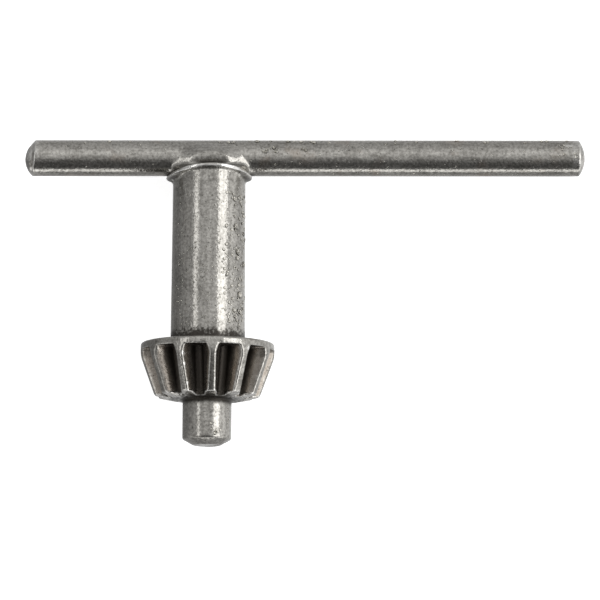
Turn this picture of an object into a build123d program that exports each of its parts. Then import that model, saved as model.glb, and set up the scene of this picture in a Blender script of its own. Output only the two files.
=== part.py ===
from build123d import *

import os
from math import asin, atan2, cos, hypot, radians, sin, sqrt, tan

# Drill chuck key in two welded pieces: a round handle bar, and a forged key body with a shank,
# a bevel pinion and a pilot. Millimetres, +Z up. The key lies on its side as it comes to rest,
# with the long arm towards +X and the pilot towards -Y. It touches the floor with the back of
# the pinion's rim, the back of the weld lip and the end of the long arm. The origin is on the
# floor, in the middle of the key's outline.

# Handle bar, measured from where its axis crosses the shank's axis, with angles in degrees
bar_diameter = 4.44
short_arm = 22.6
long_arm = 46.27
dome_radius = 3.67
dome_edge_round = 0.15
point_slope = 43
point_round = 2.7
point_offset = 0.21

# Weld: the saddle on top of the shank, its lip of flash, and the skirt of metal under the bar
weld_tilt = 1.0
weld_sink = 0.11
saddle_rise = 0.9
lip_overhang = 0.9
lip_thickness = 0.85
lip_round = 0.3
lip_root_round = 0.35
skirt_setback = 0.25
skirt_crown_inset = 1.5
skirt_shoulder = 1.0
skirt_crown = 0.1
web_radius = 1.9
web_start = 0.05
web_middle_angle = 45
scoop_radius = 6.0
scoop_depth = 0.3

# Shank
shank_top_diameter = 8.9
shank_foot_diameter = 9.1
shank_reach = 22.95
neck_diameter = 8.98
neck_length = 0.3
neck_round = 0.12

# Pinion
tooth_count = 12
first_tooth_angle = 1.8
pinion_diameter = 16.36
rim_round = 0.3
rim_thickness = 0.88
land_length = 1.65
land_blend = 3.0
pinion_length = 6.5
pinion_end_diameter = 12.9
pinion_end_round = 0.2
hub_diameter = 9.0
hub_drop = 0.4
flare_length = 2.0
tooth_land_at_rim = 1.4
tooth_land = 0.64
tooth_land_at_end = 0.78
land_edge_chamfer = 0.09
mouth_overrun = 2.0
root_diameter_at_rim = 11.5
root_diameter_at_end = 9.0
root_width = 1.15
root_depth = 0.45
flank_bulge = 0.1

# Pilot
pilot_diameter = 6.0
pilot_length = 4.85
pilot_root_round = 0.15
pilot_edge_round = 0.1
pilot_end_diameter = 3.3
pilot_end_height = 0.75

# Radii, and heights along the shank from the bar's axis
bar_r = bar_diameter / 2
shank_top_r = shank_top_diameter / 2
lip_r = shank_top_r + lip_overhang
lip_diameter = 2 * lip_r
skirt_r = lip_r - skirt_setback
skirt_crown_r = skirt_r - skirt_crown_inset
shank_foot_r = shank_foot_diameter / 2
neck_r = neck_diameter / 2
pinion_r = pinion_diameter / 2
pinion_end_r = pinion_end_diameter / 2
hub_r = hub_diameter / 2
pilot_r = pilot_diameter / 2
pilot_end_r = pilot_end_diameter / 2

saddle_floor = weld_sink - bar_r
saddle_edge = saddle_floor + saddle_rise
saddle_radius = (lip_r**2 + saddle_rise**2) / (2 * saddle_rise)
skirt_foot = saddle_floor - lip_thickness / 2
rim_top = -shank_reach
gap_top = rim_top - rim_thickness
cone_top = rim_top - land_length
flare_end = rim_top - flare_length
cone_end = rim_top - pinion_length
hub_face = cone_end - hub_drop
pilot_edge = hub_face - pilot_length
pilot_end = pilot_edge - pilot_end_height

# Resting pose. The lean makes the rim and the lip touch the floor together, and the roll then
# lowers the long arm until the edge of its end touches too.
rim_step = pinion_r - rim_round - lip_r
rim_drop = saddle_edge - rim_top + rim_round
lean = atan2(rim_step, rim_drop) + asin(rim_round / hypot(rim_step, rim_drop))
axis_height = lip_r * cos(lean) + saddle_edge * sin(lean)
dome_height = dome_radius - sqrt(dome_radius**2 - bar_r**2)
arm_edge = long_arm - dome_height - dome_edge_round
bar_droop = asin(axis_height / hypot(arm_edge, bar_r)) - atan2(bar_r, arm_edge)
tilt = radians(weld_tilt)
roll = asin((sin(bar_droop) - sin(lean) * sin(tilt)) / (cos(lean) * cos(tilt)))

# Directions of the upright key, with its shank along Z: the floor's normal and the bar
floor_normal = Vector(-cos(lean) * sin(roll), -cos(lean) * cos(roll), -sin(lean))
upright_bar = Vector(cos(tilt), 0, sin(tilt))
rest_x = (upright_bar - floor_normal * upright_bar.dot(floor_normal)).normalized()
rest_y = floor_normal.cross(rest_x)


def at_rest(direction):
    """Turn a direction of the upright key into the resting pose."""
    return Vector(direction.dot(rest_x), direction.dot(rest_y), direction.dot(floor_normal))


shank_up = at_rest(Vector(0, 0, 1))
shank_right = at_rest(Vector(1, 0, 0))
bar_along = at_rest(upright_bar)


def reach_to_front(radius, height):
    """How far a circle about the shank's axis goes towards -Y from where the axes cross."""
    return radius * sqrt(1 - shank_up.Y**2) - height * shank_up.Y


right_reach = (long_arm - dome_radius) * cos(bar_droop) + dome_radius
left_reach = (short_arm - point_round) * cos(bar_droop) + point_round
front_reach = max(reach_to_front(pilot_r, pilot_edge), reach_to_front(pilot_end_r, pilot_end))
crossing = Vector((left_reach - right_reach) / 2, (front_reach - bar_r) / 2, axis_height)

# Working planes: across and along the shank, and across and along the bar
shank_cross = Plane(origin=crossing, x_dir=shank_right, z_dir=shank_up)
shank_section = Plane(origin=crossing, x_dir=shank_right, z_dir=-shank_cross.y_dir)
shank_axis = Axis(crossing, shank_up)
bar_cross = Plane(origin=crossing, x_dir=shank_cross.y_dir, z_dir=bar_along)
bar_section = Plane(origin=crossing, x_dir=bar_along, z_dir=-shank_cross.y_dir)
bar_axis = Axis(crossing, bar_along)

# The left end's point lies a little off the bar's axis: this plane's X is the point's own axis
point_tip = bar_section.from_local_coords(Vector(-short_arm, -point_offset))
point_section = Plane(origin=point_tip, x_dir=-bar_along, z_dir=bar_section.z_dir)
point_axis = Axis(point_tip, -bar_along)


def on_circle(radius, angle):
    return (radius * cos(angle), radius * sin(angle))


def gap_outline(face_radius, land, root_radius):
    """Half of a tooth gap's outline at one height: root, side, mouth and a point outside."""
    mouth_angle = radians(180 / tooth_count) - asin(land / 2 / face_radius)
    edge_radius = face_radius - land_edge_chamfer
    mouth = Vector(*on_circle(face_radius, mouth_angle))
    edge = Vector(*on_circle(edge_radius, mouth_angle - land_edge_chamfer / edge_radius))
    side = Vector(root_radius + root_depth, root_width / 2)
    bulge = (side + edge) / 2 - Vector(0, flank_bulge)
    outside = edge + (mouth - edge).normalized() * mouth_overrun
    return Vector(root_radius, 0), side, bulge, edge, outside


# The gap's three cross-sections: at the rim, where its flare ends, and past the small end.
# Between the last two, its faces run straight on past the pinion's end.
cone_slope = (pinion_r - pinion_end_r) / (cone_top - cone_end)
root_slope = (root_diameter_at_rim - root_diameter_at_end) / 2 / (gap_top - hub_face)
land_slope = (tooth_land - tooth_land_at_end) / (flare_end - cone_end)


def gap_section(height, face_radius, land):
    root_radius = root_diameter_at_end / 2 + (height - hub_face) * root_slope
    return height, gap_outline(face_radius, land, root_radius)


gap_end = hub_face - hub_drop
gap_sections = [
    gap_section(gap_top, pinion_r, tooth_land_at_rim),
    gap_section(flare_end, pinion_end_r + (flare_end - cone_end) * cone_slope, tooth_land),
    gap_section(
        gap_end,
        pinion_end_r + (gap_end - cone_end) * cone_slope,
        tooth_land_at_end + (gap_end - cone_end) * land_slope,
    ),
]

# Key body: the lip, then the turned outline, the saddle and the gaps between the teeth
with BuildPart() as key_body:
    with BuildSketch(shank_cross):
        Circle(lip_r)
    extrude(amount=-lip_diameter)

    # The lip's underside follows the saddle, and its lower edge is rounded
    with BuildSketch(bar_cross):
        with Locations((0, saddle_floor + saddle_radius)):
            Circle(saddle_radius + lip_thickness)
    extrude(amount=lip_diameter, both=True, mode=Mode.INTERSECT)
    fillet(key_body.edges().sort_by(shank_axis)[:-1], lip_round)

    # The shank, the blank of the pinion and the pilot are turned in one outline
    with BuildSketch(shank_section):
        with BuildLine():
            FilletPolyline(
                (0, 0),
                (shank_top_r, 0),
                (shank_foot_r, rim_top + neck_length),
                (neck_r, rim_top + neck_length / 2),
                (neck_r, rim_top),
                (pinion_r, rim_top),
                (pinion_r, cone_top),
                (pinion_end_r, cone_end),
                (hub_r, hub_face),
                (pilot_r, hub_face),
                (pilot_r, pilot_edge),
                (pilot_end_r, pilot_end),
                (0, pilot_end),
                radius=[
                    0,
                    0,
                    0,
                    neck_round,
                    rim_round,
                    land_blend,
                    pinion_end_round,
                    0,
                    pilot_root_round,
                    pilot_edge_round,
                    0,
                ],
            )
            Line((0, pilot_end), (0, 0))
        make_face()
    revolve(axis=shank_axis)

    # A small root round joins the lip's underside to the shank
    lip_root = shank_section.from_local_coords((shank_top_r, saddle_floor - lip_thickness))
    bends = key_body.edges().filter_by(GeomType.LINE, reverse=True)
    fillet(bends.sort_by_distance(lip_root)[0], lip_root_round)

    # The saddle takes the top off the shank and the lip
    with BuildSketch(bar_cross):
        with Locations((0, saddle_floor + saddle_radius)):
            Circle(saddle_radius)
    extrude(amount=lip_diameter, both=True, mode=Mode.SUBTRACT)

    # The gaps between the teeth
    for gap in range(tooth_count):
        gap_angle = first_tooth_angle - 90 + (gap + 0.5) * 360 / tooth_count
        gap_side = shank_right.rotate(Axis((0, 0, 0), shank_up), gap_angle)
        gap_plane = Plane(origin=crossing, x_dir=gap_side, z_dir=shank_up)
        for height, outline in gap_sections:
            root, side, bulge, edge, outside = outline
            mirrored = [Vector(p.X, -p.Y) for p in (outside, edge, bulge, side)]
            with BuildSketch(gap_plane.offset(height)):
                with BuildLine():
                    Line(mirrored[0], mirrored[1])
                    ThreePointArc(*mirrored[1:])
                    ThreePointArc(mirrored[3], root, side)
                    ThreePointArc(side, bulge, edge)
                    Line(edge, outside)
                    Line(outside, mirrored[0])
                make_face()
        loft(ruled=True, mode=Mode.SUBTRACT)

# Handle bar with its skirt. The skirt's webs hang from the bar's flanks down to the saddle.
with BuildPart() as handle_bar:
    web_edge = bar_r - web_start
    web_foot = web_edge + web_radius
    turn = radians(web_middle_angle)
    web_middle = (web_foot - web_radius * cos(turn), -web_radius * sin(turn))
    with BuildSketch(bar_cross):
        with BuildLine():
            ThreePointArc((web_edge, 0), web_middle, (web_foot, -web_radius))
            Line((web_foot, -web_radius), (web_foot, skirt_foot))
            Line((web_foot, skirt_foot), (0, skirt_foot))
            Line((0, 0), (web_edge, 0))
            mirror(about=Plane.YZ)
        make_face()
    extrude(amount=lip_r, both=True)

    # A domed cap about the shank's axis bounds the skirt
    with BuildSketch(shank_section):
        with BuildLine():
            Line((0, skirt_foot), (skirt_r, skirt_foot))
            Line((skirt_r, skirt_foot), (skirt_r, -skirt_shoulder))
            TangentArc((skirt_r, -skirt_shoulder), (skirt_crown_r, skirt_crown), tangent=(0, 1))
            Line((skirt_crown_r, skirt_crown), (0, skirt_crown))
            Line((0, skirt_crown), (0, skirt_foot))
        make_face()
    revolve(axis=shank_axis, mode=Mode.INTERSECT)

    # A scoop at the front and the back bares the bar's flank above the lip
    with BuildSketch(shank_cross.offset(skirt_foot)):
        with Locations(
            (0, bar_r - scoop_depth + scoop_radius), (0, scoop_depth - bar_r - scoop_radius)
        ):
            Circle(scoop_radius)
    extrude(amount=bar_diameter, mode=Mode.SUBTRACT)

    # The bar itself, domed at the long arm's end
    with BuildSketch(bar_section) as bar_outline:
        with BuildLine():
            Line((-short_arm, 0), (-short_arm, bar_r))
            Line((-short_arm, bar_r), (long_arm - dome_height, bar_r))
            RadiusArc((long_arm - dome_height, bar_r), (long_arm, 0), dome_radius)
            Line((long_arm, 0), (-short_arm, 0))
        make_face()
        dome_edge = bar_outline.vertices().sort_by_distance((long_arm - dome_height, bar_r))[0]
        fillet(dome_edge, dome_edge_round)
    revolve(axis=bar_axis)

    # The short arm ends in a blunt point with a rounded tip
    slope = radians(point_slope)
    tip_centre = Vector(-point_round, 0)
    flank_x, flank_r = tuple(tip_centre + on_circle(point_round, slope))[:2]
    rim_x = flank_x - (bar_diameter - flank_r) * tan(slope)
    with BuildSketch(point_section):
        with BuildLine():
            ThreePointArc(
                (flank_x, flank_r), tip_centre + on_circle(point_round, slope / 2), (0, 0)
            )
            Line((0, 0), (point_round, 0))
            Line((point_round, 0), (point_round, bar_diameter))
            Line((point_round, bar_diameter), (rim_x, bar_diameter))
            Line((rim_x, bar_diameter), (flank_x, flank_r))
        make_face()
    revolve(axis=point_axis, mode=Mode.SUBTRACT)

    # The foot of the skirt is what the saddle leaves of it
    add(key_body.part, mode=Mode.SUBTRACT)

key_body.part.label = "key_body"
handle_bar.part.label = "handle_bar"

os.makedirs("parts", exist_ok=True)
export_step(key_body.part, "parts/key_body.step")
export_step(handle_bar.part, "parts/handle_bar.step")
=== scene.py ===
from math import asin, atan2, cos, hypot, pi, radians, sin, sqrt, tan
from random import Random

import bpy
from mathutils import Matrix, Vector


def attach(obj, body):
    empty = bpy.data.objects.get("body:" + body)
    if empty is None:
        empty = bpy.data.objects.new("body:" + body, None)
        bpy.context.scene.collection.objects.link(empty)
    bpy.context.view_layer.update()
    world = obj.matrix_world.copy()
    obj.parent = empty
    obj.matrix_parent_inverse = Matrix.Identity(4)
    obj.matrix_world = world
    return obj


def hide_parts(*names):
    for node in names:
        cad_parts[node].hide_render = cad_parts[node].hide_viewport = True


# A drill chuck key of bare steel with a film of oil, lying on a pale table and seen from above.
# Sizes are in millimetres. The key is modelled upright, its axes crossing at the origin, the
# shank along Z, the long arm towards +X and the side that will lie uppermost towards -Y. It is
# then laid down in its resting pose, in metres.
MM = 0.001

# Handle bar: its long arm ends in a dome, and its short arm in a blunt rounded point
BAR_R = 2.22
SHORT_ARM = 22.6
LONG_ARM = 46.27
DOME_R = 3.67
DOME_EDGE_ROUND = 0.08
POINT_SLOPE = radians(43)
POINT_ROUND = 2.7
POINT_OFFSET = 0.21
POINT_ALLOWANCE = 1

# Weld between the bar and the shank: a saddle under the bar, with a lip round its edge
WELD_TILT = radians(1.0)
SADDLE_FLOOR = -2.11
SADDLE_RISE = 0.9
SADDLE_RINGS = 24
LIP_R = 5.35
LIP_THICKNESS = 0.85
LIP_ROUND = 0.3
LIP_EDGE_ROUND = 0.15
LIP_ROOT_ROUND = 0.35
LIP_ROOT_REACH = 4 * LIP_ROOT_ROUND
LIP_UNDERSIDE = SADDLE_FLOOR - LIP_THICKNESS
SADDLE_RADIUS = (LIP_R**2 + SADDLE_RISE**2) / (2 * SADDLE_RISE)

# The lip is thin in front, and wedge-shaped at its sides. Each shape fades in as the share of the
# radius that points to -Y, or along X, grows from the first number of its pair to the second.
LIP_FRONT = (0.35, 0.95)
LIP_FRONT_TAPER = 0.92
LIP_FRONT_THINNING = 0.5
LIP_FRONT_LIFT = -0.08
LIP_FRONT_CORNER = 9
LIP_FRONT_INSET = 0.1
LIP_SIDES = (0.5, 0.95)
LIP_SIDE_TAPER = 0.28
LIP_SIDE_RISE = 0.33

# Skirt of metal squeezed out under the bar, with heights from the bar's axis: the bar's flanks
# swell on the way down, and then flare out to the lip. In the gap at the middle of each flank the
# swelling is full higher up and the flare starts lower. Each gap fades out between two distances
# from the middle.
SKIRT_R = 4.95
SKIRT_TOP = 1.9
SKIRT_DEPTH = LIP_THICKNESS / 2
SKIRT_LEVELS = 24
SKIRT_STATIONS = 40
FLANK_FOOT = -1.5
FLANK_SINK = 0.03
SWELL = 0.95
SWELL_REACH = 4.1
SWELL_SPREAD = 0.6
SWELL_RAMP = 2.3
SWELL_TOP = 1.8
SWELL_FULL = -1.1
SWELL_FULL_IN_GAP = 0.2
SWELL_GAP = (0.8, 4.4)
FLARE_TOP = -0.9
FLARE_TOP_IN_GAP = -1.15
FLARE_FOOT = -1.75
FLARE_GAP = (1.7, 3.2)
CONTACT_DEPTH = 0.25

# The part of the bar round the skirt whose mesh is smoothed, and where the smoothing fades
SMOOTHED_TOP = 1.5
SMOOTHED_TOP_FADE = 0.6
SMOOTHED_R = 6.4
SMOOTHED_R_FADE = 0.8

# Shank, pinion and pilot, with heights along the shank from the bar's axis. The corner at the
# pinion's small end has two points, each so far outwards and upwards from the end of the cone.
SHANK_TOP_R = 4.45
SHANK_FOOT_R = 4.55
RIM_TOP = -22.95
NECK_R = 4.49
NECK_LENGTH = 0.3
PINION_R = 8.18
RIM_ROUND = 0.3
RIM_THICKNESS = 0.88
LAND_LENGTH = 1.65
LAND_BLEND = 3.0
PINION_LENGTH = 6.5
PINION_END_R = 6.45
PINION_END_CORNER = ((-0.15, -0.02), (0.04, 0.2))
HUB_R = 4.5
HUB_DROP = 0.4
FLARE_LENGTH = 2.0
PILOT_R = 3.0
PILOT_LENGTH = 4.85
PILOT_ROOT_ROUND = 0.15
PILOT_EDGE_ROUND = 0.1
PILOT_END_R = 1.65
PILOT_END_HEIGHT = 0.75

# Teeth and the gaps between them
TOOTH_COUNT = 12
FIRST_TOOTH = radians(1.8 - 90)
LAND_AT_RIM = 1.4
LAND = 0.64
LAND_AT_END = 0.78
LAND_CHAMFER = 0.09
ROOT_R_AT_RIM = 5.75
ROOT_R_AT_END = 4.5
ROOT_WIDTH = 1.15
ROOT_DEPTH = 0.45
FLANK_BULGE = 0.1
MOUTH_OVERRUN = 2.0

GAP_TOP = RIM_TOP - RIM_THICKNESS
CONE_TOP = RIM_TOP - LAND_LENGTH
FLARE_END = RIM_TOP - FLARE_LENGTH
CONE_END = RIM_TOP - PINION_LENGTH
CONE_TAPER = (PINION_R - PINION_END_R) / (CONE_TOP - CONE_END)
HUB_FACE = CONE_END - HUB_DROP
GAP_END = HUB_FACE - HUB_DROP
PILOT_EDGE = HUB_FACE - PILOT_LENGTH
PILOT_END = PILOT_EDGE - PILOT_END_HEIGHT

# Steps of round shapes, the hair's breadth that keeps them from closing to a point, and the grain
# of the finished meshes
ROUND_STEPS = 256
ARC_STEPS = 6
HAIR = 0.01
KEY_GRAIN = 0.143
BAR_GRAIN = 0.12

# Resting pose, on the back of the rim, the back of the lip and the end of the long arm
LEAN = radians(7.323)
ROLL = radians(3.6135)
CROSSING = Vector((-11.8112, 16.5751, 5.15212))

floor_normal = Vector((-cos(LEAN) * sin(ROLL), -cos(LEAN) * cos(ROLL), -sin(LEAN)))
upright_bar = Vector((cos(WELD_TILT), 0, sin(WELD_TILT)))
rest_x = (upright_bar - floor_normal * upright_bar.dot(floor_normal)).normalized()
rest_y = floor_normal.cross(rest_x)
REST_TURN = Matrix((rest_x, rest_y, floor_normal)).to_4x4()
REST = Matrix.Translation(CROSSING * MM) @ REST_TURN @ Matrix.Scale(MM, 4)


def limited(share):
    return min(1.0, max(0.0, share))


def fade(value, start, full):
    """Rise smoothly from 0 at start to 1 at full."""
    share = limited((value - start) / (full - start))
    return share * share * (3 - 2 * share)


def deselect():
    bpy.ops.object.select_all(action="DESELECT")


def activate(piece):
    deselect()
    piece.select_set(True)
    bpy.context.view_layer.objects.active = piece


def copy_of(piece):
    copy = piece.copy()
    copy.data = piece.data.copy()
    bpy.context.collection.objects.link(copy)
    return copy


def ring(name, steps, radius=1.0):
    """Start a piece with a filled ring about Z, and leave it selected in edit mode."""
    deselect()
    bpy.ops.mesh.primitive_circle_add(vertices=steps, radius=radius, fill_type="NGON")
    piece = bpy.context.object
    piece.name = name
    bpy.ops.object.mode_set(mode="EDIT")
    bpy.ops.mesh.select_all(action="SELECT")
    return piece


def close_up(piece):
    """Leave edit mode with the piece's faces pointing outwards."""
    bpy.ops.mesh.select_all(action="SELECT")
    bpy.ops.mesh.normals_make_consistent(inside=False)
    bpy.ops.object.mode_set(mode="OBJECT")
    return piece


def turned(name, outline, steps=ROUND_STEPS):
    """Turn an outline of (radius, height) points about Z into a closed solid."""
    radius, height = outline[0]
    piece = ring(name, steps, radius)
    bpy.ops.transform.translate(value=(0, 0, height))
    for next_radius, next_height in outline[1:]:
        bpy.ops.mesh.extrude_region_move(
            TRANSFORM_OT_translate={"value": (0, 0, next_height - height)}
        )
        share = next_radius / radius
        bpy.ops.transform.resize(value=(share, share, 1), center_override=(0, 0, next_height))
        radius, height = next_radius, next_height
    return close_up(piece)


def lofted(name, outlines):
    """Join outlines of equally many points into a closed solid, by extruding the first."""
    piece = ring(name, len(outlines[0]))
    for i, outline in enumerate(outlines):
        if i:
            bpy.ops.mesh.extrude_region_move()
        bpy.ops.object.mode_set(mode="OBJECT")
        moved = [v for v in piece.data.vertices if v.select]
        for vertex, point in zip(moved, outline):
            vertex.co = point
        bpy.ops.object.mode_set(mode="EDIT")
    return close_up(piece)


def arc(centre, radius, start, end):
    """Points on an arc of an outline, with its angles in radians."""
    turn = (end - start) / ARC_STEPS
    return [
        (centre[0] + radius * cos(start + turn * i), centre[1] + radius * sin(start + turn * i))
        for i in range(ARC_STEPS + 1)
    ]


def combine(piece, operation, tool):
    """Apply a boolean with a tool, which is then deleted."""
    boolean = piece.modifiers.new("tool", "BOOLEAN")
    boolean.operation = operation
    boolean.object = tool
    boolean.solver = "EXACT"
    activate(piece)
    bpy.ops.object.modifier_apply(modifier=boolean.name)
    bpy.data.objects.remove(tool)


def apply_modifier(piece, kind, **settings):
    modifier = piece.modifiers.new(kind.lower(), kind)
    for setting, value in settings.items():
        setattr(modifier, setting, value)
    activate(piece)
    bpy.ops.object.modifier_apply(modifier=modifier.name)


def key_outline():
    """The key body's outline, from the pilot's end over the pinion and the shank to the saddle."""
    outline = [
        (HAIR, PILOT_END),
        (PILOT_END_R, PILOT_END),
        (PILOT_R - PILOT_EDGE_ROUND, PILOT_EDGE - PILOT_EDGE_ROUND / 2),
        (PILOT_R, PILOT_EDGE + PILOT_EDGE_ROUND),
        (PILOT_R, HUB_FACE - PILOT_ROOT_ROUND),
        (PILOT_R + PILOT_ROOT_ROUND, HUB_FACE),
        (HUB_R, HUB_FACE),
    ]
    outline += [(PINION_END_R + out, CONE_END + up) for out, up in PINION_END_CORNER]
    slope = atan2(PINION_R - PINION_END_R, CONE_TOP - CONE_END)
    blend = LAND_BLEND * tan(slope / 2)
    outline += arc((PINION_R - LAND_BLEND, CONE_TOP + blend), LAND_BLEND, -slope, 0)
    outline += arc((PINION_R - RIM_ROUND, RIM_TOP - RIM_ROUND), RIM_ROUND, 0, pi / 2)
    outline += [
        (NECK_R, RIM_TOP),
        (NECK_R, RIM_TOP + NECK_LENGTH / 2),
        (SHANK_FOOT_R, RIM_TOP + NECK_LENGTH),
        (SHANK_TOP_R, LIP_UNDERSIDE - LIP_ROOT_REACH),
    ]
    root = (SHANK_TOP_R + LIP_ROOT_ROUND, LIP_UNDERSIDE - LIP_ROOT_ROUND)
    outline += arc(root, LIP_ROOT_ROUND, pi, pi / 2)
    outline += arc((LIP_R - LIP_ROUND, LIP_UNDERSIDE + LIP_ROUND), LIP_ROUND, -pi / 2, 0)
    top_r = LIP_R - LIP_EDGE_ROUND
    outline += arc((top_r, SADDLE_FLOOR - LIP_EDGE_ROUND), LIP_EDGE_ROUND, 0, pi / 2)
    for i in range(1, SADDLE_RINGS + 1):
        outline.append((top_r * (1 - i / SADDLE_RINGS) + HAIR, SADDLE_FLOOR))
    return outline


def weld_lift(x, y):
    """How much higher the saddle is at a place than at the shank's axis."""
    return SADDLE_RADIUS - sqrt(SADDLE_RADIUS**2 - y * y) + x * tan(WELD_TILT)


def bend_lip(body):
    """Bend the shank's flat top and the lip to the saddle, and shape the lip round it."""
    for vertex in body.data.vertices:
        place = vertex.co
        if place.z < LIP_UNDERSIDE - LIP_ROOT_REACH / 2:
            continue
        out = hypot(place.x, place.y)
        frontness = fade(-place.y / max(out, HAIR), *LIP_FRONT)
        lowness = fade(place.z, SADDLE_FLOOR, LIP_UNDERSIDE)
        thinned = lowness**LIP_FRONT_CORNER
        lift = LIP_FRONT_THINNING * thinned + LIP_FRONT_LIFT * (1 - lowness)
        if out > SHANK_TOP_R:
            sideness = fade(abs(place.x) / out, *LIP_SIDES)
            proud = (out - SHANK_TOP_R) * (1 - LIP_FRONT_TAPER * frontness * thinned)
            place.z += LIP_SIDE_RISE * sideness * lowness * proud / (LIP_R - SHANK_TOP_R)
            proud *= 1 - LIP_SIDE_TAPER * sideness * (1 - lowness)
            place.x *= (SHANK_TOP_R + proud) / out
            place.y *= (SHANK_TOP_R + proud) / out
        if out > SHANK_TOP_R - LIP_FRONT_INSET:
            sunk = max(0.0, LIP_UNDERSIDE - place.z)
            place.z += (lift + sunk) * frontness
        place.z += weld_lift(place.x, place.y)


def key_blank():
    """The key body before its gaps are cut."""
    blank = turned("key_body_blank", key_outline())
    bend_lip(blank)
    return blank


def gap_outline(height, face_radius, land):
    """The outline of a gap between two teeth at one height, open towards +X."""
    slope = (ROOT_R_AT_RIM - ROOT_R_AT_END) / (GAP_TOP - HUB_FACE)
    root = ROOT_R_AT_END + (height - HUB_FACE) * slope
    mouth_angle = pi / TOOTH_COUNT - asin(land / 2 / face_radius)
    edge_r = face_radius - LAND_CHAMFER
    edge_angle = mouth_angle - LAND_CHAMFER / edge_r
    mouth = Vector((face_radius * cos(mouth_angle), face_radius * sin(mouth_angle)))
    edge = Vector((edge_r * cos(edge_angle), edge_r * sin(edge_angle)))
    side = Vector((root + ROOT_DEPTH, ROOT_WIDTH / 2))
    outside = edge + (mouth - edge).normalized() * MOUTH_OVERRUN
    half = [Vector((root, 0))]
    for i in range(1, ARC_STEPS + 1):
        angle = pi / 2 * i / ARC_STEPS
        half.append(Vector((side.x - ROOT_DEPTH * cos(angle), side.y * sin(angle))))
    for i in range(1, ARC_STEPS + 1):
        share = i / ARC_STEPS
        bulge = FLANK_BULGE * 4 * share * (1 - share)
        half.append(side.lerp(edge, share) - Vector((0, bulge)))
    half.append(outside)
    mirrored = [Vector((p.x, -p.y)) for p in reversed(half[1:])]
    return [(p.x, p.y, height) for p in mirrored + half]


def gap_cutter():
    """The shape of one gap, from below the hub's face up to the rim."""
    widening = (LAND - LAND_AT_END) / (FLARE_END - CONE_END)
    end_r = PINION_END_R + (GAP_END - CONE_END) * CONE_TAPER
    end_land = LAND_AT_END + (GAP_END - CONE_END) * widening
    flare_r = PINION_END_R + (FLARE_END - CONE_END) * CONE_TAPER
    outlines = [
        gap_outline(GAP_END, end_r, end_land),
        gap_outline(FLARE_END, flare_r, LAND),
        gap_outline(GAP_TOP, PINION_R, LAND_AT_RIM),
    ]
    return lofted("gap_cutter", outlines)


def cut_gaps(body):
    cutter = gap_cutter()
    for gap in range(TOOTH_COUNT):
        tool = copy_of(cutter)
        angle = FIRST_TOOTH + (gap + 0.5) * 2 * pi / TOOTH_COUNT
        tool.data.transform(Matrix.Rotation(angle, 4, "Z"))
        combine(body, "DIFFERENCE", tool)
    bpy.data.objects.remove(cutter)


def skirt_outline(x):
    """The skirt's section across the bar: the bar's swollen flank, which flares out below."""
    edge = sqrt(SKIRT_R**2 - x * x)
    foot = SADDLE_FLOOR + weld_lift(0, edge) - SKIRT_DEPTH
    flare_rise = (FLARE_TOP - FLARE_TOP_IN_GAP) * fade(abs(x), *FLARE_GAP)
    flare_top = FLARE_TOP_IN_GAP + flare_rise
    swell_rise = (SWELL_FULL - SWELL_FULL_IN_GAP) * fade(abs(x), *SWELL_GAP)
    swell_full = SWELL_FULL_IN_GAP + swell_rise
    half = []
    for level in range(SKIRT_LEVELS):
        z = SKIRT_TOP + (foot - SKIRT_TOP) * level / (SKIRT_LEVELS - 1)
        flank = sqrt(BAR_R**2 - min(max(z, FLANK_FOOT), SKIRT_TOP) ** 2) - FLANK_SINK
        swollen = limited((SWELL_REACH - SWELL_SPREAD * z - abs(x)) / SWELL_RAMP)
        front = flank + SWELL * swollen * fade(z, SWELL_TOP, swell_full)
        half.append((front + (edge - front) * fade(z, flare_top, FLARE_FOOT), z))
    middle = (x, 0, SADDLE_FLOOR - SKIRT_DEPTH)
    return [(x, y, z) for y, z in half] + [middle] + [(x, -y, z) for y, z in reversed(half)]


def skirt():
    """The metal squeezed out under the bar, from the bar's flanks to the lip's edge."""
    reach = SKIRT_R - HAIR
    places = [reach * (2 * i / SKIRT_STATIONS - 1) for i in range(SKIRT_STATIONS + 1)]
    squeezed = lofted("skirt", [skirt_outline(x) for x in places])
    squeezed.data.transform(Matrix.Rotation(-WELD_TILT, 4, "Y"))
    return squeezed


def domed_bar():
    """The round bar along X, domed at the long arm's end and too long at the other."""
    end = LONG_ARM - (DOME_R - sqrt(DOME_R**2 - BAR_R**2))
    edge = asin((BAR_R - DOME_EDGE_ROUND) / DOME_R)
    dome = arc((0, LONG_ARM - DOME_R), DOME_R, pi / 2 - edge, pi / 2)
    outline = [
        (BAR_R, -SHORT_ARM - POINT_ALLOWANCE),
        (BAR_R, end - DOME_EDGE_ROUND),
        (BAR_R - DOME_EDGE_ROUND / 3, end - DOME_EDGE_ROUND / 4),
    ]
    outline += [(max(r, HAIR), z) for r, z in dome]
    bar = turned("bar", outline)
    bar.data.transform(Matrix.Rotation(pi / 2, 4, "Y"))
    return bar


def blunt_point():
    """A cone with a rounded tip at the short arm's end, wide and long enough to hold the bar."""
    flank_r = POINT_ROUND * sin(POINT_SLOPE)
    flank_z = POINT_ROUND * (cos(POINT_SLOPE) - 1)
    wide = 4 * BAR_R
    tip = arc((0, -POINT_ROUND), POINT_ROUND, pi / 2 - POINT_SLOPE, pi / 2)
    outline = [(wide, -2 * LONG_ARM), (wide, flank_z - (wide - flank_r) * tan(POINT_SLOPE))]
    outline += [(max(r, HAIR), z) for r, z in tip]
    point = turned("point", outline)
    place = Matrix.Translation((-SHORT_ARM, 0, -POINT_OFFSET))
    point.data.transform(place @ Matrix.Rotation(-pi / 2, 4, "Y"))
    return point


def plain_bar():
    """The handle bar without its skirt, tilted as it was welded on."""
    bar = domed_bar()
    combine(bar, "INTERSECT", blunt_point())
    bar.data.transform(Matrix.Rotation(-WELD_TILT, 4, "Y"))
    return bar


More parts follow.
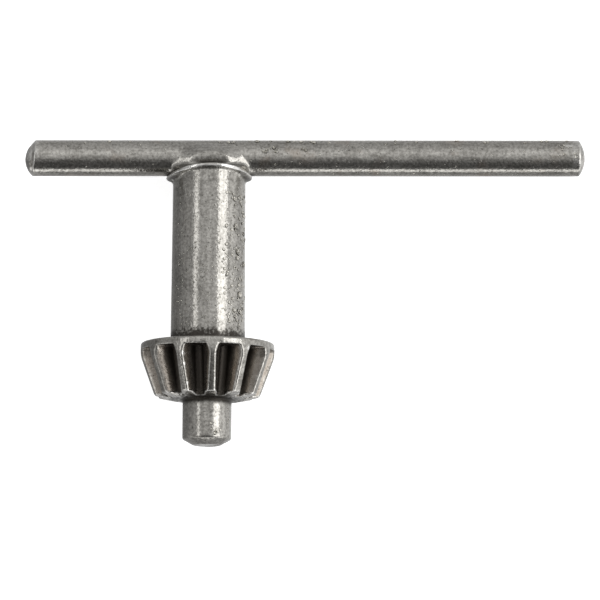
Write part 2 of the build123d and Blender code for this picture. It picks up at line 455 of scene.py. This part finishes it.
def refine(piece, grain):
    """Give a piece an even fine mesh with softened edges."""
    exact = copy_of(piece)
    apply_modifier(piece, "REMESH", mode="VOXEL", voxel_size=grain, adaptivity=0.0)
    apply_modifier(piece, "SHRINKWRAP", target=exact, wrap_method="NEAREST_SURFACEPOINT")
    apply_modifier(piece, "SMOOTH", factor=0.5, iterations=2)
    bpy.data.objects.remove(exact)


def in_skirt(place):
    """1 in the skirt under the bar, fading out into the bar and the arms."""
    out = hypot(place.x, place.y)
    height = place.z - place.x * tan(WELD_TILT)
    below = limited((SMOOTHED_TOP - height) / SMOOTHED_TOP_FADE)
    return below * limited((SMOOTHED_R - out) / SMOOTHED_R_FADE)


def smooth_skirt(bar):
    """Melt the skirt into the bar, through a vertex group that marks it."""
    group = bar.vertex_groups.new(name="skirt")
    for vertex in bar.data.vertices:
        amount = in_skirt(vertex.co)
        if amount > 0:
            group.add([vertex.index], amount, "REPLACE")
    apply_modifier(bar, "SMOOTH", factor=0.6, iterations=24, vertex_group=group.name)


def lay_down(piece, name, node):
    """Name a finished piece, lay it in its place and hide the model's part that it stands for."""
    piece.data.transform(REST)
    piece.name = name
    piece.data.name = name
    activate(piece)
    bpy.ops.object.shade_smooth()
    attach(piece, "root")
    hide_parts(node)


class Link:
    """A node's output. Python's operators on it add Math nodes to its tree."""

    def __init__(self, nodes, socket):
        self.nodes = nodes
        self.socket = socket

    def __neg__(self):
        return self.nodes.maths("SUBTRACT", 0, self)

    def __abs__(self):
        return self.nodes.maths("ABSOLUTE", self)

    def __add__(self, other):
        return self.nodes.maths("ADD", self, other)

    def __radd__(self, other):
        return self.nodes.maths("ADD", other, self)

    def __sub__(self, other):
        return self.nodes.maths("SUBTRACT", self, other)

    def __rsub__(self, other):
        return self.nodes.maths("SUBTRACT", other, self)

    def __mul__(self, other):
        return self.nodes.maths("MULTIPLY", self, other)

    def __rmul__(self, other):
        return self.nodes.maths("MULTIPLY", other, self)

    def __truediv__(self, other):
        return self.nodes.maths("DIVIDE", self, other)

    def __pow__(self, other):
        return self.nodes.maths("POWER", self, other)


class Nodes:
    """The node tree of a material or of the world."""

    def __init__(self, owner):
        owner.use_nodes = True
        self.tree = owner.node_tree

    def add(self, kind, settings, values, output=0):
        """Add a node of a kind. Its settings go first, and then its sockets' values or links."""
        node = self.tree.nodes.new(kind)
        for name, value in settings.items():
            if name == "stops":
                self.grade(node.color_ramp.elements, value)
            else:
                setattr(node, name, value)
        for socket, value in values.items():
            self.feed(node.inputs[socket], value)
        return Link(self, node.outputs[output])

    def grade(self, elements, stops):
        """Give a ramp its stops of (position, grey level)."""
        while len(elements) < len(stops):
            elements.new(0.5)
        for element, (position, level) in zip(elements, stops):
            element.position = position
            element.color = (level, level, level, 1)

    def feed(self, socket, value):
        if isinstance(value, Link):
            self.tree.links.new(value.socket, socket)
        else:
            socket.default_value = value

    def maths(self, operation, *values):
        return self.add("ShaderNodeMath", dict(operation=operation), dict(enumerate(values)))

    def axes(self, vector):
        """The X, Y and Z of a vector."""
        return [
            self.add("ShaderNodeSeparateXYZ", {}, {0: vector}, output=axis) for axis in "XYZ"
        ]


# Colours of the steel, of the grime and painted shade on it, and of its wear and painted highlights
METAL_DARK = (0.185, 0.178, 0.163, 1)
METAL_LIGHT = (0.425, 0.412, 0.385, 1)
METAL_WORN_AND_HIGHLIGHT = (0.66, 0.65, 0.63, 1)
METAL_RUSTY = (0.3, 0.24, 0.19, 1)
GRIME_AND_SHADE = (0.022, 0.018, 0.014, 1)

# Levels of noise at which a pattern starts and at which it is full
TONE_NOISE = (0.32, 0.68)
PIT_NOISE = (0.38, 0.28)
BATTERED_NOISE = (0.45, 0.6)
PILOT_DIRT_NOISE = (0.45, 0.58)
BLOTCH_NOISE = (0.42, 0.6)
RUST_NOISE = (0.55, 0.75)


class Steel(Nodes):
    """The nodes of a steel surface, whose patterns are set out in the upright key's millimetres."""

    def __init__(self, name):
        self.material = bpy.data.materials.new(name)
        super().__init__(self.material)
        coordinates = self.add("ShaderNodeTexCoord", {}, {}, output="Object")
        laid = dict(
            Vector=coordinates,
            Location=CROSSING * MM,
            Rotation=REST_TURN.to_euler(),
            Scale=(MM, MM, MM),
        )
        self.place = self.add("ShaderNodeMapping", dict(vector_type="TEXTURE"), laid)
        self.x, self.y, self.z = self.axes(self.place)
        self.radius = (self.x * self.x + self.y * self.y) ** 0.5
        self.sharpness = self.add("ShaderNodeNewGeometry", {}, {}, output="Pointiness")

    def step(self, value, start, full):
        """Rise smoothly from 0 at start to 1 at full."""
        reach = {"Value": value, "From Min": start, "From Max": full}
        return self.add("ShaderNodeMapRange", dict(interpolation_type="SMOOTHSTEP"), reach)

    def noise(self, per_mm, detail=3, stretch=(1, 1, 1), shift=0):
        """Noise between about 0.25 and 0.75, with a number of features to the millimetre."""
        stretched = {"Vector": self.place, "Scale": stretch, "Location": (shift, shift, shift)}
        vector = self.add("ShaderNodeMapping", {}, stretched)
        return self.add(
            "ShaderNodeTexNoise", {}, {"Vector": vector, "Scale": per_mm, "Detail": detail}
        )

    def blend(self, amount, first, second):
        """Mix two colours, from the first at 0 to the second at 1."""
        return self.add(
            "ShaderNodeMix", dict(data_type="RGBA"), {0: amount, 6: first, 7: second}, output=2
        )

    def largest(self, first, *others):
        for other in others:
            first = self.maths("MAXIMUM", first, other)
        return first

    def finish(self, streaks, grime_and_shade, rust, wear_and_highlights, lumps):
        """Lay mottled bare metal, with grime and painted shade, and with worn edges and painted
        highlights, into the surface's shader.
        """
        mottle = self.noise(0.45, detail=4)
        speckle = self.noise(3.2, detail=3, shift=7)
        grain = self.noise(4.4, detail=1, shift=3)
        pits = self.step(self.noise(3.4, detail=2, shift=11), *PIT_NOISE)
        tone = self.step(mottle * 0.25 + speckle * 0.5 + streaks * 0.25, *TONE_NOISE)
        colour = self.blend(tone, METAL_DARK, METAL_LIGHT)
        colour = self.blend(rust, colour, METAL_RUSTY)
        colour = self.blend(pits * 0.6, colour, GRIME_AND_SHADE)
        # Painted shade: the dark colour goes where shade falls as well as on grime
        colour = self.blend(grime_and_shade, colour, GRIME_AND_SHADE)
        # Painted highlight: the light colour goes where light falls as well as on worn edges
        colour = self.blend(wear_and_highlights * 0.85, colour, METAL_WORN_AND_HIGHLIGHT)
        rough = speckle * 0.2 + pits * 0.15 + grime_and_shade * 0.3 + 0.045
        height = grain * 0.016 + mottle * 0.012 + streaks * 0.008 - pits * 0.006 + lumps
        bump = {"Height": height, "Distance": MM}
        shader = self.tree.nodes["Principled BSDF"]
        self.feed(shader.inputs["Base Color"], colour)
        self.feed(shader.inputs["Metallic"], 1 - grime_and_shade * 0.25)
        self.feed(shader.inputs["Roughness"], rough)
        self.feed(shader.inputs["Normal"], self.add("ShaderNodeBump", {}, bump, output="Normal"))
        return self.material


# Where the key body's finishes start and where they are full. Heights are along the shank from the
# bar's axis, radii are from the shank's axis, depths are below the faces of the teeth, and the
# sharpness of an edge is 0.5 where the surface is flat. A side is uppermost by the share of the
# radius that points to -Y.
PINION_TOP = (RIM_TOP, RIM_TOP - 0.2)
PINION_FOOT = (HUB_FACE, CONE_END)
WALL_DEPTH = (0.45, 0.9)
# The roots of the gaps between the teeth are darkened as painted shade
SHADED_ROOT_DEPTH = (0.7, 2.3)
TOOTH_EDGE_DEPTH = (1.2, 0.8)
TOOTH_EDGE_SHARPNESS = (0.52, 0.6)
RIM_CORNER_TOP = (RIM_TOP + 3.7, RIM_TOP + 2.6)
RIM_CORNER_FOOT = (RIM_TOP - 0.1, RIM_TOP)
RIM_CORNER_R = (5.4, 5.0)
HUB_TOP = (CONE_END + 0.5, CONE_END + 0.2)
HUB_FOOT = (HUB_FACE - 0.65, HUB_FACE + 0.05)
HUB_CORNER_R = (5.0, 4.3)
UPPERMOST = (0.76, 0.9)
SMALL_END_TOP = (CONE_END + 0.25, CONE_END + 0.05)
SMALL_END_R = (3.2, 3.5)
SMALL_END_SHADE_R = (5.5, 5.1)
SMALL_END_WORN_R = (5.2, 5.6)
SMALL_EDGE_TOP = (CONE_END + 0.35, CONE_END + 0.1)
SMALL_EDGE_R = (4.4, 4.7)
SMALL_EDGE_SHARPNESS = (0.51, 0.56)
PILOT_TIP_TOP = (PILOT_EDGE - 0.1, PILOT_EDGE - 0.3)
LIP_FOOT = (-4, -3.5)
UNDER_LIP_TOP = (-2.35, -2.75)
UNDER_LIP_R = (4.75, 4.95)
LIP_EDGE_R = (4.52, 4.65)
LIP_EDGE_SHARPNESS = (0.505, 0.55)
LIP_DULL_MIDDLE = -0.6
LIP_BRIGHT_SIDES = (1.6, 2.6)
LIP_WALL_TOP = (-1.45, -1.6)
LIP_WALL_R = (4.5, 4.65)
LIP_WALL_FRONT = (3.4, 4.2)


def forged_steel():
    """The key body's steel, with painted shade that makes it darkest between the teeth, and in the
    corners at the rim and the pilot.
    """
    steel = Steel("forged_steel")
    height = steel.z
    radius = steel.radius
    streaks = steel.noise(2.4, detail=4, stretch=(1, 1, 0.1))
    patches = steel.noise(0.9, detail=4, shift=5)
    specks = steel.noise(3.2, detail=2, shift=9)
    uppermost = steel.step(-steel.y / radius, *UPPERMOST)

    in_pinion = steel.step(height, *PINION_TOP) * steel.step(height, *PINION_FOOT)
    tooth_face = steel.maths("MINIMUM", height - CONE_TOP, 0) * CONE_TAPER + PINION_R
    depth = tooth_face - radius + patches * 0.8
    # Painted shade between the teeth: the gaps' walls a little darker, their roots nearly black
    walls = in_pinion * steel.step(depth, *WALL_DEPTH)
    roots = in_pinion * steel.step(depth, *SHADED_ROOT_DEPTH)

    # Painted shade in the corner above the rim, with a ragged upper edge
    rim_corner = steel.step(height + patches * 1.4 + specks * 2.4, *RIM_CORNER_TOP)
    rim_corner = rim_corner * steel.step(height, *RIM_CORNER_FOOT)
    rim_corner = rim_corner * steel.step(radius, *RIM_CORNER_R)

    # Painted shade in the corner where the pilot leaves the hub's face
    hub = steel.step(height, *HUB_TOP) * steel.step(height + patches * 0.6, *HUB_FOOT)
    hub = hub * steel.step(radius, *HUB_CORNER_R)

    # Painted shade on the underside of the lip, at its sides
    under_lip = steel.step(height, *UNDER_LIP_TOP) * steel.step(height, *LIP_FOOT)
    under_lip = under_lip * steel.step(radius + patches * 0.6, *UNDER_LIP_R)

    small_end = steel.step(height, *SMALL_END_TOP) * steel.step(radius, *SMALL_END_R)
    # Painted shade on the small end's face, on its uppermost side
    small_end_shade = small_end * uppermost * steel.step(radius, *SMALL_END_SHADE_R)

    pilot_tip = steel.step(height, *PILOT_TIP_TOP)
    pilot_dirt = pilot_tip * steel.step(steel.noise(0.5, detail=5, shift=2), *PILOT_DIRT_NOISE)

    grime_and_shade = steel.largest(
        walls * 0.28,
        roots * 0.97,
        rim_corner * 0.95,
        hub * 0.98,
        under_lip * 0.8,
        small_end_shade * 0.98,
        pilot_dirt * 0.8,
    )

    # Painted highlight along the lip's top edge, bright at its sides and dull in the middle, laid over
    # its edge wear
    lip_edge = steel.step(height, *LIP_FOOT) * steel.step(radius, *LIP_EDGE_R)
    lip_edge = lip_edge * steel.step(steel.sharpness, *LIP_EDGE_SHARPNESS)
    lip_edge = lip_edge * steel.step(abs(steel.x - LIP_DULL_MIDDLE), *LIP_BRIGHT_SIDES)

    # Painted light: the light worn colour on the front of the lip's wall, to lighten it
    lip_wall = steel.step(height, *LIP_WALL_TOP) * steel.step(height, *LIP_FOOT)
    lip_wall = lip_wall * steel.step(radius, *LIP_WALL_R) * steel.step(-steel.y, *LIP_WALL_FRONT)

    tooth_edge = in_pinion * steel.step(depth, *TOOTH_EDGE_DEPTH)
    tooth_edge = tooth_edge * steel.step(steel.sharpness, *TOOTH_EDGE_SHARPNESS)

    small_edge = steel.step(height, *SMALL_EDGE_TOP) * steel.step(radius, *SMALL_EDGE_R)
    small_edge = small_edge * steel.step(steel.sharpness, *SMALL_EDGE_SHARPNESS)

    # Battered wear on the small end with painted highlights: laid only away from its uppermost side
    battered = small_end * (1 - uppermost) * steel.step(specks, *BATTERED_NOISE)
    rubbed = small_end * steel.step(radius, *SMALL_END_WORN_R)
    wear_and_highlights = steel.largest(
        lip_edge, lip_wall, tooth_edge, small_edge, battered * 0.7, rubbed * 0.5
    )

    lumps = (small_end * 0.14 + pilot_tip * 0.06) * steel.noise(1.5, detail=2, shift=4)
    return steel.finish(streaks, grime_and_shade, walls * 0.4, wear_and_highlights, lumps)


# The same for the handle bar's finishes, with heights above the saddle and distances along the bar
# from the shank's axis or from the bar's middle
BAR_MIDDLE = (LONG_ARM - SHORT_ARM) / 2
BAR_END = BAR_MIDDLE + SHORT_ARM
CREASE_R = (6.0, 5.2)
CREASE_TOP = (0.22, 0.02)
HOLLOW_SIDES = (2.6, 1.0)
HOLLOW_R = (1.9, 2.3)
HOLLOW_TOP = (1.35, 0.8)
BRIGHT_ENDS = (BAR_END - 2.8, BAR_END - 2.4)
END_EDGE_SHARPNESS = (0.508, 0.54)
BATTERED_ENDS = (BAR_END - 1.9, BAR_END - 1.3)
LUMPY_POINT = (0.9 - SHORT_ARM, 0.4 - SHORT_ARM)


def drawn_steel():
    """The handle bar's steel, drawn lengthways, with a little rust, and painted shade in the weld's
    crease and low in the middle of each flank.
    """
    steel = Steel("drawn_steel")
    streaks = steel.noise(2.4, detail=4, stretch=(0.08, 1, 1))
    patches = steel.noise(0.3, detail=4, shift=5)
    rust = steel.step(patches, *RUST_NOISE)

    saddle = steel.y * steel.y * (SADDLE_RISE / LIP_R**2) + SADDLE_FLOOR
    above_saddle = steel.z - saddle
    # Painted shade in the weld's crease, next to the lip
    crease = steel.step(steel.radius, *CREASE_R) * steel.step(above_saddle, *CREASE_TOP)
    # Painted shade in the hollow at the middle of each flank, just above the lip
    hollow = steel.step(abs(steel.x), *HOLLOW_SIDES) * steel.step(steel.radius, *HOLLOW_R)
    hollow = hollow * steel.step(above_saddle, *HOLLOW_TOP)
    grime_and_shade = steel.largest(crease * 0.8, hollow * 0.95)

    from_middle = abs(steel.x - BAR_MIDDLE)
    end_edge = steel.step(from_middle, *BRIGHT_ENDS)
    end_edge = end_edge * steel.step(steel.sharpness, *END_EDGE_SHARPNESS)
    blotches = steel.step(steel.noise(0.9, detail=5, shift=6), *BLOTCH_NOISE)
    battered = steel.step(from_middle, *BATTERED_ENDS) * blotches
    wear_and_highlights = steel.largest(end_edge * 0.8, battered * 0.6)

    lumps = steel.step(steel.x, *LUMPY_POINT) * steel.noise(1.2, detail=2, shift=8) * 0.4
    return steel.finish(streaks, grime_and_shade, rust * 0.4, wear_and_highlights, lumps)


def clear_oil():
    material = bpy.data.materials.new("clear_oil")
    nodes = Nodes(material)
    place = nodes.add("ShaderNodeTexCoord", {}, {}, output="Object")
    dust = nodes.add("ShaderNodeTexNoise", {}, {"Vector": place, "Scale": 4 / MM})
    shader = nodes.tree.nodes["Principled BSDF"]
    shader.inputs["Base Color"].default_value = (0.97, 0.96, 0.92, 1)
    shader.inputs["IOR"].default_value = 1.47
    shader.inputs["Transmission Weight"].default_value = 1
    nodes.feed(shader.inputs["Roughness"], dust * 0.08)
    return material


# Groups of oil droplets: how many, from where to where along the part, between which angles in
# degrees, and from what to what size. On the bar the angle rises from the uppermost side to the
# side away from the shank. On the shank and the pilot it goes round from the uppermost side
# towards the long arm.
BAR_DROPLETS = (
    (10, (6.5, 8.3), (10, 27), (0.3, 0.55)),
    (4, (10.8, 11.8), (12, 28), (0.25, 0.45)),
    (9, (0.5, 15), (52, 66), (0.3, 0.8)),
    (12, (42.8, 45), (-12, 42), (0.2, 0.42)),
    (16, (-19, 44), (50, 68), (0.3, 0.6)),
    (110, (-19.5, 44), (-70, 70), (0.12, 0.28)),
)
SHANK_DROPLETS = (
    (13, (-20, -4.5), (40, 70), (0.5, 0.95)),
    (100, (-21.5, -4.2), (20, 78), (0.22, 0.48)),
    (130, (-21.8, -3), (-60, 78), (0.12, 0.24)),
    (120, (-21.8, -9), (-60, 60), (0.14, 0.28)),
)
PILOT_DROPLETS = (
    (7, (-34.4, -32.2), (8, 32), (0.28, 0.5)),
    (5, (-34.4, -31), (34, 70), (0.16, 0.3)),
)
DROPLET_HEIGHT = 0.8


def droplet_dome():
    """A low dome a millimetre across, whose foot is sunk a little."""
    outline = [(0.4, -0.12), (0.5, 0), (0.44, 0.14), (0.27, 0.25), (HAIR, 0.3)]
    dome = turned("oil_droplet", outline, steps=12)
    bpy.ops.object.shade_smooth()
    return dome


def scatter(name, dome, groups, dice, spot, oil):
    """Copy the dome into groups of droplets at spots given by place and angle, as one piece."""
    deselect()
    for count, along, angles, sizes in groups:
        for _ in range(count):
            droplet = copy_of(dome)
            size = dice.uniform(*sizes)
            place = spot(dice.uniform(*along), radians(dice.uniform(*angles)))
            shape = Matrix.Diagonal((size, size, size * DROPLET_HEIGHT, 1))
            droplet.data.transform(REST @ place @ shape)
            droplet.select_set(True)
            bpy.context.view_layer.objects.active = droplet
    bpy.ops.object.join()
    film = bpy.context.object
    film.name = name
    film.data.name = name
    film.data.materials.append(oil)
    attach(film, "root")


def on_bar(x, angle):
    lean = Matrix.Rotation(-WELD_TILT, 4, "Y") @ Matrix.Translation((x, 0, 0))
    return lean @ Matrix.Rotation(pi / 2 - angle, 4, "X") @ Matrix.Translation((0, 0, BAR_R))


def round_shank(z, angle, radius):
    """A spot on a round surface about the shank's axis, facing outwards."""
    turn = Matrix.Rotation(angle, 4, "Z") @ Matrix.Rotation(pi / 2, 4, "X")
    return Matrix.Translation((0, 0, z)) @ turn @ Matrix.Translation((0, 0, radius))


def on_shank(z, angle):
    taper = (SHANK_TOP_R - SHANK_FOOT_R) / (SADDLE_FLOOR - RIM_TOP)
    return round_shank(z, angle, SHANK_FOOT_R + (z - RIM_TOP) * taper)


def on_pilot(z, angle):
    return round_shank(z, angle, PILOT_R)


# Brightness of the studio on each side, by degrees from overhead (0) to underneath (180)
RIGHT_SIDE = ((0, 0.62), (15, 0.7), (64, 1.15), (84, 1.5), (100, 1.1), (115, 1.0), (180, 1.0))
LEFT_SIDE = (
    (0, 0.62), (20, 0.7), (35, 0.7), (60, 0.56),
    (84, 0.5), (104, 0.33), (150, 0.3), (180, 0.5),
)
BACK_SIDE = (
    (0, 0.62), (14, 0.98), (34, 1.26), (62, 0.88),
    (92, 0.68), (120, 0.62), (150, 0.75), (180, 0.8),
)
FRONT_SIDE = (
    (0, 0.55), (11, 0.28), (31, 0.13), (60, 0.13), (74, 0.3),
    (81, 2.0), (92, 2.0), (102, 0.45), (180, 0.7),
)
STUDIO_PEAK = 2.0
WHITE = (1, 1, 1, 1)


def add_studio():
    """Soft light all round, graded differently on the studio's four sides."""
    world = bpy.data.worlds.new("studio")
    nodes = Nodes(world)
    x, y, z = nodes.axes(nodes.add("ShaderNodeTexCoord", {}, {}, output="Generated"))
    never_zero = 1e-6
    flat = x * x + y * y + never_zero
    overhead = nodes.maths("ARCCOSINE", z) / pi
    light = 0
    sides = ((x, RIGHT_SIDE, 1), (x, LEFT_SIDE, -1), (y, BACK_SIDE, 1), (y, FRONT_SIDE, -1))
    for axis, profile, sign in sides:
        towards = nodes.maths("MAXIMUM", axis * sign, 0)
        stops = [(angle / 180, level / STUDIO_PEAK) for angle, level in profile]
        level = nodes.add("ShaderNodeValToRGB", dict(stops=stops), {"Fac": overhead})
        light = towards * towards / flat * level + light
    background = nodes.tree.nodes["Background"]
    nodes.feed(background.inputs["Strength"], light * STUDIO_PEAK)
    nodes.feed(background.inputs["Color"], WHITE)
    bpy.context.scene.world = world


def add_softbox(name, angle, half_angle, level):
    """A long lamp over one side of the key, at an angle from overhead, facing the key."""
    distance = 0.6
    light = bpy.data.lights.new(name, "AREA")
    light.shape = "RECTANGLE"
    light.size = 2 * distance * tan(half_angle)
    light.size_y = 0.8
    light.energy = level * pi * light.size * light.size_y
    lamp = bpy.data.objects.new(name, light)
    bpy.context.collection.objects.link(lamp)
    lamp.location = (distance * sin(angle), 0, distance * cos(angle))
    lamp.rotation_euler = (0, angle, 0)


def add_camera():
    """Look down at the key from far enough to show it with hardly any perspective."""
    data = bpy.data.cameras.new("camera")
    camera = bpy.data.objects.new("camera", data)
    bpy.context.collection.objects.link(camera)
    distance = 0.7
    frame_width = 0.0736
    target = Vector((-0.00075, -0.000825, CROSSING.z * MM))
    tilt = radians(0.5)
    turn = -0.0013
    camera.location = target + Vector((0, -sin(tilt), cos(tilt))) * distance
    camera.rotation_euler = (tilt, 0, turn)
    data.sensor_width = 36
    data.lens = data.sensor_width * distance / frame_width
    data.clip_start = 0.05
    data.clip_end = 10
    bpy.context.scene.camera = camera


def add_floor():
    """A white table top that glows a little and isn't mirrored in the steel."""
    deselect()
    bpy.ops.mesh.primitive_plane_add(size=3)
    floor = bpy.context.object
    floor.name = "table_top"
    material = bpy.data.materials.new("table_white")
    material.use_nodes = True
    shader = material.node_tree.nodes["Principled BSDF"]
    shader.inputs["Base Color"].default_value = (0.9, 0.9, 0.9, 1)
    shader.inputs["Roughness"].default_value = 0.9
    shader.inputs["Emission Color"].default_value = WHITE
    shader.inputs["Emission Strength"].default_value = 0.65
    floor.data.materials.append(material)
    floor.visible_glossy = False


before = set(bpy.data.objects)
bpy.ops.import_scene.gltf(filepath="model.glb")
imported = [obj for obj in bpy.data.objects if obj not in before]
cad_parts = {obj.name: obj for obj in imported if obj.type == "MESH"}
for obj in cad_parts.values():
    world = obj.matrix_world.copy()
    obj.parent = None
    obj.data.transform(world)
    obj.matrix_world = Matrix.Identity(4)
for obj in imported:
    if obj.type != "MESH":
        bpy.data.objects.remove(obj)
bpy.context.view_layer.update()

key_body = key_blank()
blank = copy_of(key_body)
cut_gaps(key_body)
blank.data.transform(Matrix.Translation((0, 0, -CONTACT_DEPTH)))
handle_bar = skirt()
combine(handle_bar, "UNION", plain_bar())
combine(handle_bar, "DIFFERENCE", blank)
refine(key_body, KEY_GRAIN)
refine(handle_bar, BAR_GRAIN)
smooth_skirt(handle_bar)
lay_down(key_body, "forged_key_body", "key_body")
lay_down(handle_bar, "drawn_handle_bar", "handle_bar")
key_body.data.materials.append(forged_steel())
handle_bar.data.materials.append(drawn_steel())

dice = Random(5)
dome = droplet_dome()
oil = clear_oil()
scatter("oil_droplets_on_bar", dome, BAR_DROPLETS, dice, on_bar, oil)
scatter("oil_droplets_on_shank", dome, SHANK_DROPLETS, dice, on_shank, oil)
scatter("oil_droplets_on_pilot", dome, PILOT_DROPLETS, dice, on_pilot, oil)
bpy.data.objects.remove(dome)

add_floor()
add_camera()
add_studio()
add_softbox("right_softbox", angle=radians(45.5), half_angle=radians(15), level=2.1)
add_softbox("left_softbox", angle=radians(-40.5), half_angle=radians(5.5), level=1.4)
bpy.context.scene.view_settings.view_transform = "Standard"
